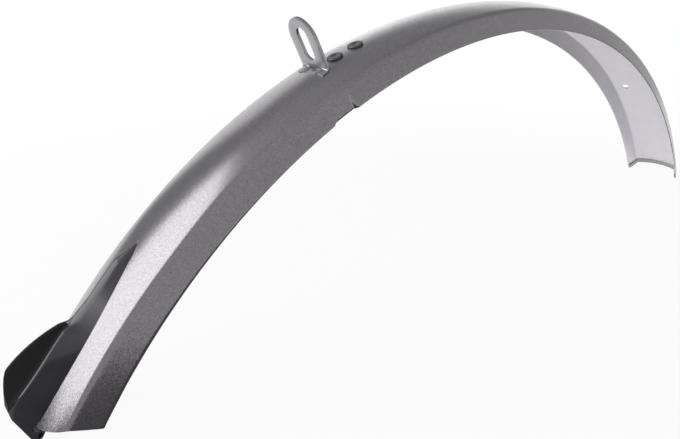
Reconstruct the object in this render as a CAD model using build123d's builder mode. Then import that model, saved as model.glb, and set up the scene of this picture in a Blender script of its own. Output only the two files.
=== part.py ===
"""Bicycle mudguard: a channelled blade, a riveted fork bracket and a clip-on mud flap.

The guard stands as an arch on its two ends. X points to the plain end, Y lies across the wheel and Z is up.
Lengths are in mm. A station is an arc length along the crown, counted from the bracket's tab towards the
plain end, and a height is counted outwards from the crown.
"""
import os
from math import atan2, cos, degrees, hypot, pi, sin, sqrt

from build123d import *

# Blade
guard_radius = 355.0        # crown of the blade, from the wheel's axis
crown_half = 21.9           # half width between the shoulders
crown_rise = 4.0            # dome of the crown over the shoulders
crown_oval = 1.03           # the dome's curve is this much wider than high
edge_half = 26.5            # half width at the lower edges
blade_depth = 15.6          # crown to lower edge
shoulder_radius = 4.0
sheet = 1.0
plain_arc = 497.0           # tab to the plain end
flap_arc = 186.3            # tab to the corners of the rounded end
end_radius = 33.0           # of the rounded end, seen from above
end_bulge = 13.6            # its middle beyond its corners
hem_width = 4.5             # sheet folded back inside the plain end

# Relief pressed into both side walls beside the fork
relief_middle = -11.6       # station
relief_length = 18.5
relief_depth = 2.3          # at the lower edge
relief_top = 0.2            # part of the wall that stays straight under the shoulder
relief_ramps = (4.5, 1.6)   # soft side towards the flap, crisp side towards the tab

# Hole for a stay screw, off the middle of the crown
stay_arc = 376.0
stay_offset = 11.9
stay_radius = 3.0

# Fork bracket
plate = 1.5
tab_width = 20.0
tab_height = 25.4
slot_width = 7.4
slot_length = 16.0
slot_height = 12.8          # middle of the slot
ear_length = 4.7
neck_half = 4.0
neck_play = 0.5
slit_length = 3.4           # open part of the slit behind the neck
strip_half = 4.6
strip_length = 38.0

# Rivets
rivet_arcs = (11.8, 25.7)
rivet_radius = 2.0
rivet_play = 0.1
head_radius = 4.2
head_height = 0.9
dimple_radius = 1.9
dimple_depth = 0.4
tail_radius = 3.1
tail_height = 1.2

# Mud flap; runs are counted from its tip towards its tail
flap_wall = 1.8
flap_length = 78.6          # tip to the tail of the scoop
blade_reach = 4.8           # blade's rounded end beyond the tail
nose_half = 1.6
nose_height = 0.9
nose_ramp = 10.0
keel_half = 9.2             # widest on the crown
keel_share = 0.6            # of the flap's length, where it is widest
ridge_half = 1.5
ridge_height = 3.8
ridge_drop = 0.5            # rounding of the ridge
climb_share = 0.36          # where the ridge starts to climb
floor_height = 10.0         # of the scoop's floor at the tail
split_share = 0.51          # where the ridge splits into the scoop's two rims
split_height = 5.7
rim_half = 12.5
rim_height = 13.2
rim_share = 0.865           # where the scoop is widest
rim_bow = 0.75              # how early the rims rise
rim_wall = 1.4
tail_swell = 0.6            # bulge of the tail's two edges
flap_steps = 16             # straight lengths along the flap

# Clip that holds the flap over the blade's rounded end
clip_half = 6.5
clip_play = 2.0             # blade end to clip
clip_root = 6.6             # the clip's start inside the scoop, ahead of the tail
brow_reach = 1.4            # top edge of the clip behind the tail
brow_height = 9.8
pocket_height = 3.0         # room over the blade's end
toe_arc = 6.9               # lowest point beyond the blade end
toe_wall = 2.8
tongue = 2.6
tongue_length = 12.0

# Clearances
seat_gap = 0.06             # faces that are pressed together
flap_gap = 0.12             # flap on the blade

crown_radius = (crown_half**2 + crown_rise**2) / (2 * crown_rise)
wall_run = edge_half - crown_half
wall_drop = blade_depth - crown_rise
wall_length = hypot(wall_run, wall_drop)
blade_end = -(flap_arc + end_bulge)
tip_arc = blade_end + blade_reach + flap_length
tail_run = flap_length + brow_reach
keel_run, climb_run, split_run, rim_run = (
    share * flap_length for share in (keel_share, climb_share, split_share, rim_share)
)
toe_height = -(sheet + flap_gap + tongue)
strip_inset = sheet + seat_gap + strip_half**2 / (2 * (crown_radius - sheet))   # flat strip in a domed crown

# The guard leans until the plain end's corners and the clip's toe stand level.
edge_radius = guard_radius - blade_depth
toe_radius = guard_radius + toe_height
spread = (plain_arc - blade_end + toe_arc) / guard_radius
plain_angle = atan2(edge_radius - toe_radius * cos(spread), toe_radius * sin(spread))
stand_height = edge_radius * cos(plain_angle)


def bearing(arc):
    """Angle of a station from the vertical, towards the plain end, in radians."""
    return plain_angle + (arc - plain_arc) / guard_radius


def section_plane(arc):
    """Plane across the blade: x runs across the wheel, y outwards from the wheel's axis."""
    angle = bearing(arc)
    return Plane((0, 0, 0), x_dir=(0, 1, 0), z_dir=(cos(angle), 0, -sin(angle)))


def skin_plane(arc, offset=0.0):
    """Plane touching the crown: x runs along the blade to the plain end, y across it."""
    angle = bearing(arc)
    rise = crown_radius * sqrt(1 - (offset / crown_oval / crown_radius) ** 2)
    tilt = atan2(offset / crown_oval**2, rise)
    height = guard_radius - crown_radius + rise
    return Plane(
        (height * sin(angle), offset, height * cos(angle)),
        x_dir=(cos(angle), 0, -sin(angle)),
        z_dir=(cos(tilt) * sin(angle), sin(tilt), cos(tilt) * cos(angle)),
    )


def side_point(arc, height):
    """Point of the side view, as X and Z from the wheel's axis."""
    return ((guard_radius + height) * sin(bearing(arc)), (guard_radius + height) * cos(bearing(arc)))


def wall_point(drop, inset):
    """Point of the right side wall, drop mm below the shoulder and inset from the outer skin."""
    across = crown_half - inset * wall_drop / wall_length
    outward = guard_radius - crown_rise - inset * wall_run / wall_length
    return across + drop * wall_run / wall_drop, outward - drop


def channel_section(arc, inset, skirt=0.0):
    """Filled section of the blade, inset from its outer skin; skirt carries it below the lower edge."""
    low = wall_point(wall_drop + skirt - inset * wall_run / wall_length, inset)
    high = wall_point(-2 * crown_rise, inset)
    with BuildSketch(section_plane(arc)) as section:
        with BuildLine():
            Polyline(low, high, (-high[0], high[1]), (-low[0], low[1]), close=True)
        make_face()
        with Locations((0, guard_radius - crown_radius)):
            Ellipse(crown_oval * (crown_radius - inset), crown_radius - inset, mode=Mode.INTERSECT)
        fillet(section.vertices().group_by(Axis.Y)[-1], shoulder_radius - inset)
    return section.sketch


def crown_band(arc, inset, thickness, spans):
    """Section of strips that follow the crown: spans are (middle, width) across the wheel."""
    with BuildSketch(section_plane(arc)) as section:
        for middle, width in spans:
            with Locations((middle, guard_radius)):
                Rectangle(width, 4 * crown_rise)
        outer, inner = crown_radius - inset, crown_radius - inset - thickness
        with Locations((0, guard_radius - crown_radius)):
            Ellipse(crown_oval * outer, outer, mode=Mode.INTERSECT)
            Ellipse(crown_oval * inner, inner, mode=Mode.SUBTRACT)
    return section.sketch


def relief_section(arc, depth, inset, side):
    """What the relief takes off one side wall at a station."""
    top = wall_point(relief_top * wall_drop, inset)
    foot = wall_point(wall_drop + 2 * sheet, inset)
    reach = 3 * relief_depth
    with BuildSketch(section_plane(arc)) as section:
        with BuildLine():
            Polyline(
                (side * top[0], top[1]),
                (side * (foot[0] - depth), foot[1]),
                (side * (foot[0] + reach), foot[1]),
                (side * (foot[0] + reach), top[1]),
                close=True,
            )
        make_face()
    return section.sketch


def relief_sections(inset, side):
    """The four sections of a relief: clear of the wall, in, in, and clear of it again."""
    rear, front = relief_middle - relief_length / 2, relief_middle + relief_length / 2
    soft, crisp = relief_ramps
    outside = -relief_depth / 4
    stations = ((rear, outside), (rear + soft, relief_depth), (front - crisp, relief_depth), (front, outside))
    return [relief_section(arc, depth, inset, side) for arc, depth in stations]


def sweep_angle(arc):
    """Turn about the wheel's axis that covers an arc, in degrees."""
    return degrees(arc / guard_radius)


def end_sketch(margin):
    """What lies beyond the blade's rounded end, moved out by a margin."""
    with BuildSketch(skin_plane(-flap_arc)) as beyond:
        Rectangle(4 * end_bulge, 3 * edge_half, align=(Align.MAX, Align.CENTER))
        with Locations((end_radius - end_bulge, 0)):
            Circle(end_radius + margin, mode=Mode.SUBTRACT)
    return beyond.sketch


def round_hole(arc, radius, offset=0.0):
    """Outline of a hole through the crown, square to its skin."""
    with BuildSketch(skin_plane(arc, offset)) as hole:
        Circle(radius)
    return hole.sketch


def slit_sketch():
    """Outline of the slit that the bracket's neck goes through."""
    with BuildSketch(skin_plane(plate / 2 + seat_gap)) as slit:
        Rectangle(
            plate + seat_gap + slit_length, 2 * (neck_half + neck_play), align=(Align.MAX, Align.CENTER)
        )
    return slit.sketch


# Inside of the blade: the sheet's inner face, then the folded hem's
with BuildPart() as hollow:
    whole_arc = sweep_angle(plain_arc - hem_width - blade_end + sheet)
    revolve(channel_section(blade_end - sheet, sheet, 2 * sheet), axis=Axis.Y, revolution_arc=whole_arc)
    for side in (-1, 1):
        loft(relief_sections(sheet, side), ruled=True, mode=Mode.SUBTRACT)
    hem_section = channel_section(plain_arc - 2 * hem_width, 2 * sheet, 2 * sheet)
    revolve(hem_section, axis=Axis.Y, revolution_arc=sweep_angle(3 * hem_width))

with BuildPart() as blade:
    revolve(channel_section(blade_end, 0), axis=Axis.Y, revolution_arc=sweep_angle(plain_arc - blade_end))
    for side in (-1, 1):
        loft(relief_sections(0, side), ruled=True, mode=Mode.SUBTRACT)
    add(hollow.part, mode=Mode.SUBTRACT)
    for rivet_arc in rivet_arcs:
        rivet_hole = round_hole(rivet_arc, rivet_radius + rivet_play)
        extrude(rivet_hole, amount=crown_rise, both=True, mode=Mode.SUBTRACT)
    stay_hole = round_hole(stay_arc, stay_radius, stay_offset)
    extrude(stay_hole, amount=crown_rise, both=True, mode=Mode.SUBTRACT)
    extrude(slit_sketch(), amount=crown_rise, both=True, mode=Mode.SUBTRACT)
    extrude(end_sketch(0), amount=2 * blade_depth, both=True, mode=Mode.SUBTRACT)

with BuildPart() as bracket:
    # Tab with a round top, and the neck under it
    with BuildSketch(section_plane(0)) as tab:
        with Locations((0, guard_radius + seat_gap)):
            Rectangle(tab_width, tab_height - tab_width / 2, align=(Align.CENTER, Align.MIN))
        with Locations((0, guard_radius + tab_height - tab_width / 2)):
            Circle(tab_width / 2)
        with Locations((0, guard_radius + plate)):
            Rectangle(2 * neck_half, 2 * plate + strip_inset, align=(Align.CENTER, Align.MAX))
        with Locations((0, guard_radius + slot_height)):
            SlotOverall(slot_length, slot_width, rotation=90, mode=Mode.SUBTRACT)
    extrude(amount=plate / 2, both=True)
    # Ears on the crown
    ear_width = tab_width / 2 - neck_half - neck_play
    ear_middle = (tab_width - ear_width) / 2
    ear_spans = ((-ear_middle, ear_width), (ear_middle, ear_width))
    ears = crown_band(-ear_length, -seat_gap - plate, plate, ear_spans)
    revolve(ears, axis=Axis.Y, revolution_arc=sweep_angle(ear_length + plate / 2))
    # Strip under the crown
    with BuildSketch(section_plane(-plate / 2)) as strip:
        with Locations((0, guard_radius - strip_inset)):
            Rectangle(2 * strip_half, plate, align=(Align.CENTER, Align.MAX))
    revolve(axis=Axis.Y, revolution_arc=sweep_angle(strip_length))
    for rivet_arc in rivet_arcs:
        rivet_hole = round_hole(rivet_arc, rivet_radius + rivet_play)
        extrude(rivet_hole, amount=2 * crown_rise, both=True, mode=Mode.SUBTRACT)

with BuildPart() as rivets:
    tail_seat = strip_inset + plate + seat_gap
    for rivet_arc in rivet_arcs:
        with Locations(skin_plane(rivet_arc).offset(seat_gap)):
            Cylinder(head_radius, head_height, align=(Align.CENTER, Align.CENTER, Align.MIN))
        with Locations(skin_plane(rivet_arc).offset(-tail_seat - tail_height / 2)):
            shank = tail_seat + seat_gap + tail_height
            Cylinder(rivet_radius, shank, align=(Align.CENTER, Align.CENTER, Align.MIN))
        with Locations(skin_plane(rivet_arc).offset(-tail_seat)):
            Cylinder(tail_radius, tail_height, align=(Align.CENTER, Align.CENTER, Align.MAX))
        with Locations(skin_plane(rivet_arc).offset(seat_gap + head_height)):
            Cylinder(
                dimple_radius,
                dimple_depth,
                align=(Align.CENTER, Align.CENTER, Align.MAX),
                mode=Mode.SUBTRACT,
            )


def crown_height(across):
    """Height of the crown's skin at a distance across, below its middle."""
    return crown_radius * (sqrt(1 - (across / crown_oval / crown_radius) ** 2) - 1)


def keel_width(run):
    """Half width of the flap where it sits on the crown."""
    if run < keel_run:
        return keel_half - (keel_half - nose_half) * ((keel_run - max(run, 0)) / keel_run) ** 2
    return keel_half - (keel_half - clip_half) * ((run - keel_run) / (tail_run - keel_run)) ** 2


def flap_section(run):
    """Section of the flap: a ridge that splits into the two rims of a scoop, over side walls to the crown."""
    climb = max(0.0, run - climb_run) / (flap_length - climb_run)
    ramp = max(0.0, nose_ramp - run) / nose_ramp
    middle = ridge_height + (floor_height - ridge_height) * climb - (ridge_height - nose_height) * ramp
    opening = (run - split_run) / (rim_run - split_run)
    rim, edge = ridge_half, middle - ridge_drop
    if opening > 0:
        rim += (rim_half - ridge_half) * sin(min(opening, 1.0) * pi / 2)
        edge = split_height + (rim_height - split_height) * opening**rim_bow
    inner = max(rim - rim_wall, ridge_half / 3)
    keel = keel_width(run)
    sole = guard_radius + flap_gap + crown_height(keel)
    top = guard_radius + edge
    half = [(keel, sole), (rim, top), (inner, top), (0, guard_radius + middle)]
    with BuildSketch(section_plane(tip_arc - run)) as section:
        with BuildLine():
            Polyline(*half, *[(-across, out) for across, out in reversed(half[:-1])])
            ThreePointArc((-keel, sole), (0, guard_radius + flap_gap), (keel, sole))
        make_face()
    return section.sketch


with BuildPart() as flap:
    loft([flap_section(tail_run * step / flap_steps) for step in range(flap_steps + 1)], ruled=True)
    # The tail, seen from above, runs in from its corners to a blunt point
    with BuildSketch(skin_plane(tip_arc - rim_run)) as beyond:
        tail = rim_run - flap_length
        side = rim_half + ridge_drop
        bulge = (tail / 2 - tail_swell, side / 2 + tail_swell)
        Rectangle(flap_length / 2, 4 * rim_half, align=(Align.MAX, Align.CENTER))
        with BuildLine():
            Line((0, -side), (0, side))
            ThreePointArc((0, side), bulge, (tail, 0))
            ThreePointArc((tail, 0), (bulge[0], -bulge[1]), (0, -side))
        make_face(mode=Mode.SUBTRACT)
    extrude(amount=2 * rim_half, both=True, mode=Mode.SUBTRACT)
    # Clip: its back falls from the tail round the blade's end
    with BuildSketch(Plane.XZ) as clip:
        with BuildLine():
            Polyline(
                side_point(tip_arc - flap_length + clip_root, floor_height - flap_wall),
                side_point(tip_arc - tail_run, brow_height),
                side_point(blade_end - toe_arc, toe_height + flap_wall / 2),
                side_point(blade_end - toe_arc, toe_height),
                side_point(blade_end - toe_arc + toe_wall, toe_height),
                side_point(blade_end - clip_play, pocket_height / 2),
                side_point(blade_end, pocket_height),
                side_point(tip_arc - flap_length + clip_root, pocket_height),
                close=True,
            )
        make_face()
    extrude(amount=clip_half, both=True)
    # Tongue under the crown
    root = blade_end - toe_arc + toe_wall / 2
    tongue_section = crown_band(root, sheet + flap_gap, tongue, ((0, 2 * clip_half),))
    revolve(tongue_section, axis=Axis.Y, revolution_arc=sweep_angle(tongue_length + toe_arc))

nodes = {"mudguard_blade": blade, "fork_bracket": bracket, "bracket_rivets": rivets, "mud_flap": flap}
whole = Compound([node.part for node in nodes.values()]).bounding_box()
stand = Pos(-(whole.min.X + whole.max.X) / 2, 0, -stand_height)

os.makedirs("parts", exist_ok=True)
for name, node in nodes.items():
    placed = node.part.moved(stand)
    placed.label = name
    export_step(placed, f"parts/{name}.step")
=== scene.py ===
"""Looks of a bicycle mudguard: lacquered blade, riveted fork bracket and clip-on mud flap, in a white studio."""

import logging
from collections.abc import Mapping, Sequence
from dataclasses import dataclass, field
from enum import Enum
from functools import reduce
from math import atan2, cos, hypot, pi, radians, sin, sqrt

import bmesh
import bpy
from bmesh.types import BMesh, BMFace, BMVert
from bpy.types import ID, Material, Mesh, Node, NodeTree, Object, bpy_prop_collection
from bpy.types import NodeSocket as Socket
from mathutils import Matrix, Vector


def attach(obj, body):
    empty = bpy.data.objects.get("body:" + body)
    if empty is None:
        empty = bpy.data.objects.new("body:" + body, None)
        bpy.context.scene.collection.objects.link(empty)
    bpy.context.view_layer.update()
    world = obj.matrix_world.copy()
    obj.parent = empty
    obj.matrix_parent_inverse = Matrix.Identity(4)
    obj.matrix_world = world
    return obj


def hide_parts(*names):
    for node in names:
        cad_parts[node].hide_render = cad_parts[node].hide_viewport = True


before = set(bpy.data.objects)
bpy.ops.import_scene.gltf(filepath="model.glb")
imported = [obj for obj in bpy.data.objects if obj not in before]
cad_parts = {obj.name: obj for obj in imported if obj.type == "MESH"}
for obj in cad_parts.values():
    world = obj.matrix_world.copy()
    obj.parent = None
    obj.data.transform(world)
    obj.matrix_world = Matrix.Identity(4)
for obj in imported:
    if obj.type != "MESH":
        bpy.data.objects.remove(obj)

MM = 0.001
HALVINGS = 50
WHITE = (1.0, 1.0, 1.0, 1.0)

Spot = tuple[float, float]
Place = tuple[float, float, float]
Term = Socket | float | Place
log = logging.getLogger("mudguard")


class Skin(Enum):
    """Which lacquer a face of the blade carries."""

    OUTER = 0
    INNER = 1


class Flap(Enum):
    """Which plastic a face of the flap carries; the dish's darker plastic is painted shade in the hollow."""

    OUTSIDE = 0
    SHADED_DISH = 1


class Step(Enum):
    """How a value goes from one end of its range to the other."""

    STRAIGHT = "LINEAR"
    SOFT = "SMOOTHSTEP"


def linear(code: str) -> tuple[float, float, float, float]:
    """Turn an sRGB hex colour into linear RGBA.

    Args:
        code: Colour such as "8c8c90".

    Returns:
        Linear red, green, blue and an alpha of 1.
    """
    parts = [int(code[at : at + 2], 16) / 255 for at in (0, 2, 4)]
    red, green, blue = (part / 12.92 if part <= 0.04045 else ((part + 0.055) / 1.055) ** 2.4 for part in parts)
    return red, green, blue, 1.0


def fill(tree: NodeTree, node: Node, inputs: Mapping[str | int, object]) -> None:
    """Set or link inputs of a node.

    Args:
        tree: Tree that holds the node.
        node: Node to fill.
        inputs: Values or output sockets by input name or index.
    """
    for key, value in inputs.items():
        if isinstance(value, Socket):
            tree.links.new(value, node.inputs[key])
        else:
            node.inputs[key].default_value = value


def add_node(
    tree: NodeTree, kind: str, inputs: Mapping[str | int, object] | None = None, **settings: object
) -> Node:
    """Add a node, set its properties, and fill or link its inputs.

    Args:
        tree: Tree that gets the node.
        kind: Blender's type name of the node.
        inputs: Values or output sockets by input name or index.
        **settings: Properties of the node.

    Returns:
        The new node.
    """
    node = tree.nodes.new(kind)
    for name, value in settings.items():
        setattr(node, name, value)
    fill(tree, node, inputs or {})
    return node


def number(tree: NodeTree, how: str, *terms: Term) -> Socket:
    """Join numbers by a Math node."""
    return add_node(tree, "ShaderNodeMath", dict(enumerate(terms)), operation=how).outputs[0]


def vector(tree: NodeTree, how: str, *terms: Term) -> Socket:
    """Join vectors by a Vector Math node."""
    return add_node(tree, "ShaderNodeVectorMath", dict(enumerate(terms)), operation=how).outputs[0]


def mapped(
    tree: NodeTree, value: Socket, source: tuple[Term, Term], target: tuple[Term, Term], step: Step = Step.SOFT
) -> Socket:
    """Map a value from one range to another.

    Args:
        tree: Tree that gets the node.
        value: Value to map.
        source: Ends of the value's range.
        target: What the ends become.
        step: How the value goes from one end to the other.

    Returns:
        The mapped value.
    """
    ends = dict(zip(("From Min", "From Max", "To Min", "To Max"), source + target))
    inputs = {"Value": value, **ends}
    return add_node(tree, "ShaderNodeMapRange", inputs, interpolation_type=step.value).outputs[0]


def new_object(name: str, data: ID) -> Object:
    """Link a new object with its data into the scene.

    Args:
        name: Name of the object.
        data: Its mesh, lamp or camera.

    Returns:
        The object.
    """
    made = bpy.data.objects.new(name, data)
    bpy.context.scene.collection.objects.link(made)
    return made


def poured(name: str, work: BMesh) -> Mesh:
    """Turn a finished bmesh into a mesh, and free it.

    Args:
        name: Name of the mesh.
        work: The bmesh.

    Returns:
        The mesh.
    """
    mesh = bpy.data.meshes.new(name)
    work.to_mesh(mesh)
    work.free()
    return mesh


def baked(name: str, source: Object) -> Mesh:
    """Turn an object and its modifiers into a plain mesh, and remove the object.

    Args:
        name: Name of the mesh.
        source: Object to evaluate.

    Returns:
        The plain mesh.
    """
    graph = bpy.context.evaluated_depsgraph_get()
    mesh = bpy.data.meshes.new_from_object(source.evaluated_get(graph))
    mesh.name = name
    bpy.data.objects.remove(source)
    return mesh


def grown(name: str, source: Object, tree: NodeTree, values: Mapping[str, object]) -> Mesh:
    """Run a Geometry Nodes tree on an object and bake what comes out.

    Args:
        name: Name of the mesh.
        source: Object that the tree starts from.
        tree: The tree.
        values: Input values by socket name.

    Returns:
        The plain mesh.
    """
    modifier = source.modifiers.new(tree.name, "NODES")
    modifier.node_group = tree
    for item in tree.interface.items_tree:
        if item.in_out == "INPUT" and item.name in values:
            modifier[item.identifier] = values[item.name]
    return baked(name, source)


def outward(mesh: Mesh) -> None:
    """Merge a mesh's doubles and point its faces outwards.

    Args:
        mesh: Closed shells.
    """
    work = bmesh.new()
    work.from_mesh(mesh)
    bmesh.ops.remove_doubles(work, verts=work.verts, dist=1e-7)
    bmesh.ops.recalc_face_normals(work, faces=work.faces)
    work.to_mesh(mesh)
    work.free()


def creased(mesh: Mesh, sharp_deg: float) -> None:
    """Shade a mesh smooth, and keep edges over an angle sharp."""
    mesh.shade_smooth()
    mesh.set_sharp_from_angle(angle=radians(sharp_deg))


def joined(name: str, meshes: Sequence[Mesh], sharp_deg: float) -> Mesh:
    """Put several meshes into one, with the materials of the first.

    Args:
        name: Name of the result.
        meshes: Meshes whose material numbers agree.
        sharp_deg: Angle over which edges stay sharp.

    Returns:
        One mesh.
    """
    whole = bmesh.new()
    for mesh in meshes:
        whole.from_mesh(mesh)
    result = poured(name, whole)
    for material in meshes[0].materials:
        result.materials.append(material)
    creased(result, sharp_deg)
    return result


def bevelled(source: Object, width: float, segments: int, over_deg: float) -> None:
    """Round an object's edges by a modifier.

    Args:
        source: The object.
        width: Width of the rounding in mm.
        segments: Pieces of the rounding.
        over_deg: Angle over which an edge is rounded.
    """
    bevel = source.modifiers.new("rounding", "BEVEL")
    bevel.width, bevel.segments, bevel.limit_method = width * MM, segments, "ANGLE"
    bevel.angle_limit = radians(over_deg)


def bridged(work: BMesh, rings: Sequence[Sequence[BMVert]]) -> list[list[BMFace]]:
    """Join closed rings of equally many points by faces.

    Args:
        work: Mesh under construction.
        rings: The rings in order.

    Returns:
        The faces after each ring but the last.
    """
    return [
        [work.faces.new((ring[k - 1], ring[k], after[k], after[k - 1])) for k in range(len(ring))]
        for ring, after in zip(rings, rings[1:])
    ]


def softened(line: Sequence[Spot], cuts: Sequence[float], steps: int, most: float = 0.45) -> list[Spot]:
    """Round the inner corners of an open line.

    Args:
        line: Corner points.
        cuts: How far from each inner corner its rounding starts.
        steps: Pieces of each rounding and of each straight.
        most: Share of a straight that a rounding may take.

    Returns:
        Points, equally many for every line with the same number of corners.
    """
    spots = [Vector(spot) for spot in line]
    points, last = [], spots[0]
    for before, corner, after, cut in zip(spots, spots[1:], spots[2:], cuts):
        near, far = (before - corner).length, (after - corner).length
        reach = min(cut, most * near, most * far)
        enter, leave = corner.lerp(before, reach / near), corner.lerp(after, reach / far)
        points += [last.lerp(enter, k / steps) for k in range(steps)]
        for k in range(steps):
            points.append(enter.lerp(corner, k / steps).lerp(corner.lerp(leave, k / steps), k / steps))
        last = leave
    points += [last.lerp(spots[-1], k / steps) for k in range(steps + 1)]
    return [(point.x, point.y) for point in points]


def dress(name: str, mesh: Mesh, slot: str, *nodes: str) -> Object:
    """Hang a finished piece on the frame and report it.

    Args:
        name: Name of the piece.
        mesh: Its mesh.
        slot: Material slot of the record; not used.
        *nodes: CAD nodes that the piece stands for.

    Returns:
        The piece.
    """
    piece = new_object(name, mesh)
    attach(piece, "root")
    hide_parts(*nodes)
    log.info("%s: %d faces", piece.name, len(piece.data.polygons))
    return piece


@dataclass(frozen=True)
class Arch:
    """The crown's line: an arc about the wheel's axis, in mm, with stations counted from the tab."""

    radius: float = 355.0
    axis_x: float = 3.40589
    axis_z: float = -189.050499
    plain_arc: float = 497.0
    plain_angle: float = 0.98001048

    def angle(self, arc: float) -> float:
        """Bearing of a station from the vertical, in radians."""
        return self.plain_angle + (arc - self.plain_arc) / self.radius

    def point(self, arc: float, across: float, height: float) -> Vector:
        """Place of a station, a distance across and a height over the crown, in metres."""
        angle, reach = self.angle(arc), self.radius + height
        return MM * Vector((self.axis_x + reach * sin(angle), across, self.axis_z + reach * cos(angle)))

    def plane(self, arc: float, across: float, height: float, tilt: float = 0.0) -> Matrix:
        """Frame on the crown: x along the blade, y across, z out of the skin."""
        turn = Matrix.Rotation(self.angle(arc), 4, "Y") @ Matrix.Rotation(-tilt, 4, "X")
        return Matrix.Translation(self.point(arc, across, height)) @ turn

    def inputs(self) -> dict[str, float]:
        """Inputs that every tree on the arch takes, in metres."""
        return {"Radius": self.radius * MM, "Axis X": self.axis_x * MM, "Axis Z": self.axis_z * MM}


@dataclass(frozen=True)
class Channel:
    """Cross-section of the blade: a domed crown, rounded shoulders and straight side walls, in mm."""

    crown_half: float = 21.9
    crown_rise: float = 4.0
    crown_oval: float = 1.03
    edge_half: float = 26.5
    depth: float = 15.6
    shoulder: float = 4.0
    sheet: float = 1.0
    edge_share: float = 0.55
    relief_top: float = 0.2
    crown_steps: int = 12
    shoulder_steps: int = 7
    wall_steps: int = 9
    edge_steps: int = 6

    @property
    def dome(self) -> float:
        """Height radius of the crown's curve."""
        return (self.crown_half**2 + self.crown_rise**2) / (2 * self.crown_rise)

    @property
    def slope(self) -> Place:
        """Run, fall and length of a side wall."""
        run, fall = self.edge_half - self.crown_half, self.depth - self.crown_rise
        return run, fall, hypot(run, fall)

    def crown(self, across: float, inset: float = 0.0) -> float:
        """Height of the crown at a distance across, inset from its skin."""
        high = self.dome - inset
        return high * sqrt(1 - (across / (self.crown_oval * high)) ** 2) - self.dome

    def tilt(self, across: float) -> float:
        """Lean of the crown's skin at a distance across, in radians."""
        return atan2(across / self.crown_oval**2, self.crown(across) + self.dome)

    def wall(self, drop: float, inset: float) -> Spot:
        """Find a point of the side wall.

        Args:
            drop: Distance below the shoulder line.
            inset: Distance inside the outer skin.

        Returns:
            The distance across and the height.
        """
        run, fall, length = self.slope
        across = self.crown_half - inset * fall / length + drop * run / fall
        return across, -self.crown_rise - inset * run / length - drop

    def half(self, inset: float) -> list[Spot]:
        """Half of a skin from the middle of the crown to the lower edge.

        Args:
            inset: Distance inside the outer skin.

        Returns:
            Points as distance across and height.
        """
        radius, foot = self.shoulder - inset, self.wall(0.0, inset)
        run, fall, length = self.slope
        low, high = 0.0, self.crown_half
        # Halve the range until the shoulder's circle touches the crown and the wall
        for _ in range(HALVINGS):
            across = (low + high) / 2
            lean = self.tilt(across)
            middle = (across - radius * sin(lean), self.crown(across, inset) - radius * cos(lean))
            gap = ((foot[0] - middle[0]) * fall + (foot[1] - middle[1]) * run) / length
            low, high = (across, high) if gap > radius else (low, across)
        marks = [across * k / self.crown_steps for k in range(self.crown_steps)]
        points = [(mark, self.crown(mark, inset)) for mark in marks]
        start, stop = self.tilt(across), atan2(fall, run)
        for k in range(self.shoulder_steps + 1):
            turn = start + (stop - start) * k / self.shoulder_steps
            points.append((middle[0] + radius * sin(turn), middle[1] + radius * cos(turn)))
        top = -points[-1][1] - self.crown_rise - inset * run / length
        span = fall - inset * run / length - self.edge_share * self.sheet - top
        return points + [self.wall(top + span * (k + 1) / self.wall_steps, inset) for k in range(self.wall_steps)]

    def loop(self, outer: float, inner: float) -> list[Spot]:
        """Closed section of a sheet between two insets, with half-round lower edges.

        Args:
            outer: Inset of the outer face.
            inner: Inset of the inner face.

        Returns:
            Points of the closed loop as distance across and height.
        """
        out, back = self.half(outer), self.half(inner)
        (ax, ah), (bx, bh) = out[-1], back[-1]
        across, height, radius = (ax + bx) / 2, (ah + bh) / 2, hypot(ax - bx, ah - bh) / 2
        start = atan2(ah - height, ax - across)
        turns = [start - pi * k / self.edge_steps for k in range(1, self.edge_steps)]
        edge = [(across + radius * cos(turn), height + radius * sin(turn)) for turn in turns]
        right = out + edge + back[::-1]
        left = [(-side, level) for side, level in right[::-1]]
        return right + left[1:-1]

    def pinch(self, height: float) -> float:
        """Find how far the relief presses a point of the wall in.

        Args:
            height: Height of the point.

        Returns:
            Share of the relief's depth.
        """
        fall = self.depth - self.crown_rise
        top = self.relief_top * fall
        return max(0.0, (-height - self.crown_rise - top) / (fall + 2 * self.sheet - top))


class Coating:
    """A material under construction, with the textures that the finishes share. Sizes in mm."""

    def __init__(self, name: str) -> None:
        """Start the material.

        Args:
            name: The real material's name.
        """
        self.made = bpy.data.materials.new(name)
        self.made.use_nodes = True
        self.tree = self.made.node_tree
        self.place = add_node(self.tree, "ShaderNodeTexCoord").outputs["Object"]

    def noise(self, size: float, detail: float, place: Socket | None = None) -> Socket:
        """Make noise.

        Args:
            size: Size of its patches.
            detail: Octaves in it.
            place: Coordinates, if not the object's own.

        Returns:
            Values between 0 and 1.
        """
        at = self.place if place is None else place
        inputs = {"Vector": at, "Scale": 1 / (size * MM), "Detail": detail}
        return add_node(self.tree, "ShaderNodeTexNoise", inputs).outputs[0]

    def blend(self, share: Socket, first: str, second: str) -> Socket:
        """Mix two sRGB colours by a share."""
        inputs = {0: share, 6: linear(first), 7: linear(second)}
        return add_node(self.tree, "ShaderNodeMix", inputs, data_type="RGBA").outputs[2]

    def vary(self, share: Socket, middle: float, play: float) -> Socket:
        """Spread a number about its middle by a share."""
        return mapped(self.tree, share, (0.0, 1.0), (middle - play, middle + play), Step.STRAIGHT)

    def bump(self, height: Socket, strength: float, distance: float) -> Socket:
        """Raise the surface by a height."""
        inputs = {"Height": height, "Strength": strength, "Distance": distance * MM}
        return add_node(self.tree, "ShaderNodeBump", inputs).outputs[0]

    def finish(self, inputs: Mapping[str, Term]) -> Material:
        """Fill the shader's inputs and hand the material over."""
        fill(self.tree, self.tree.nodes["Principled BSDF"], inputs)
        return self.made


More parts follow.
